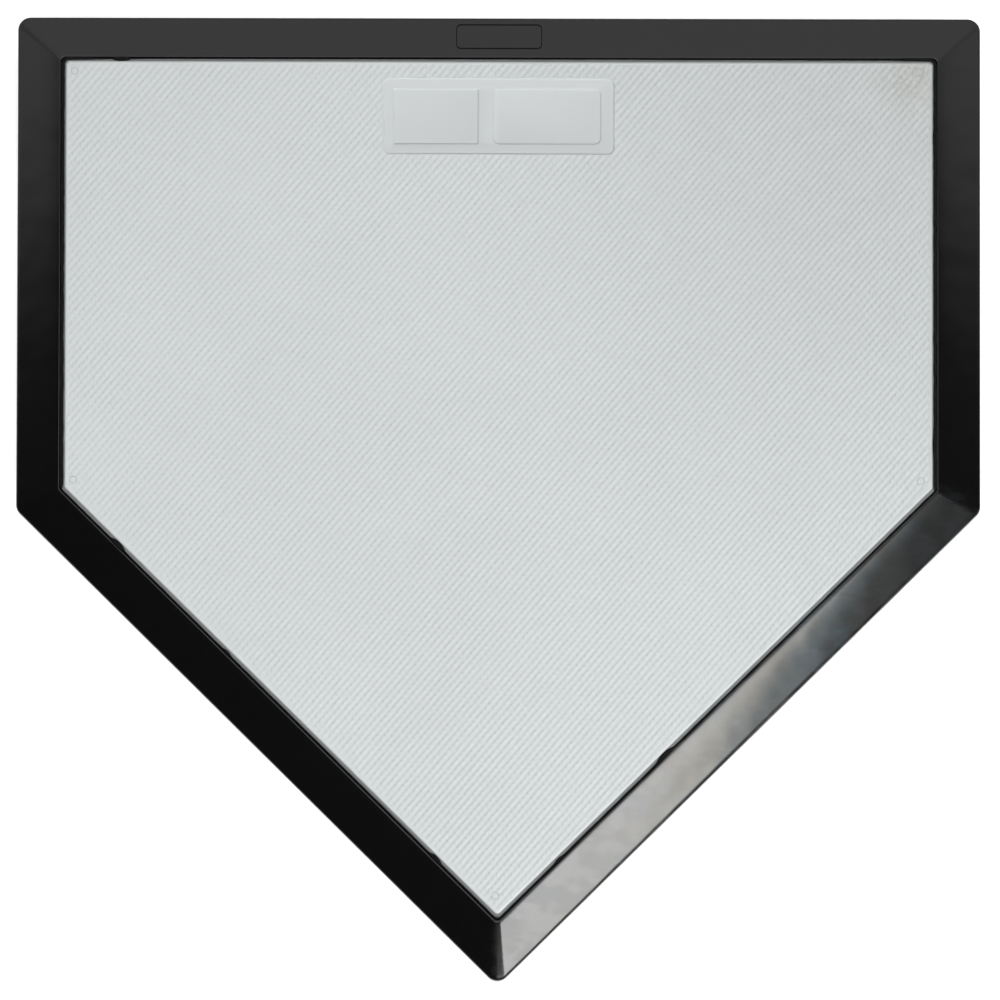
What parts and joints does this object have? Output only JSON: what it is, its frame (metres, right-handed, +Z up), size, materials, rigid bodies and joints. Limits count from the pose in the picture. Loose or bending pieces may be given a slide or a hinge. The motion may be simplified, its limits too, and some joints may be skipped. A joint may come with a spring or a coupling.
{
  "type": "home plate",
  "caption": "In-ground baseball home plate: knurled white rubber pentagon in a bevelled black rubber surround, with a screwed-in wood core underneath.",
  "frame": {"origin": "bottom centre of the bounding box, in the plane of the skirt's foot and the core boards' underside", "axes": "+Z up out of the playing face, +Y towards the straight front edge, the point towards -Y, +X to the right seen from above with the point down"},
  "size_m": [0.4802, 0.4876, 0.0635],
  "materials": {
    "white_rubber": "matt, finely knurled",
    "black_rubber": "glossy moulded, with a light bloom",
    "pine": "sawn and planed, pressure treated",
    "zinc_steel": "zinc plated"
  },
  "bodies": {
    "root": {"white_top": "white_rubber", "black_surround": "black_rubber", "core_board_1": "pine", "core_board_2": "pine", "core_board_3": "pine", "core_board_4": "pine", "core_board_5": "pine", "front_screw_1": "zinc_steel", "front_screw_2": "zinc_steel", "front_screw_3": "zinc_steel", "front_screw_4": "zinc_steel", "front_screw_5": "zinc_steel", "left_screw_1": "zinc_steel", "left_screw_2": "zinc_steel", "right_screw_1": "zinc_steel", "right_screw_2": "zinc_steel", "left_slant_screw_1": "zinc_steel", "left_slant_screw_2": "zinc_steel", "left_slant_screw_3": "zinc_steel", "right_slant_screw_1": "zinc_steel", "right_slant_screw_2": "zinc_steel", "right_slant_screw_3": "zinc_steel", "front_washer_1": "zinc_steel", "front_washer_2": "zinc_steel", "front_washer_3": "zinc_steel", "front_washer_4": "zinc_steel", "front_washer_5": "zinc_steel", "left_washer_1": "zinc_steel", "left_washer_2": "zinc_steel", "right_washer_1": "zinc_steel", "right_washer_2": "zinc_steel", "left_slant_washer_1": "zinc_steel", "left_slant_washer_2": "zinc_steel", "left_slant_washer_3": "zinc_steel", "right_slant_washer_1": "zinc_steel", "right_slant_washer_2": "zinc_steel", "right_slant_washer_3": "zinc_steel"}
  },
  "joints": []
}
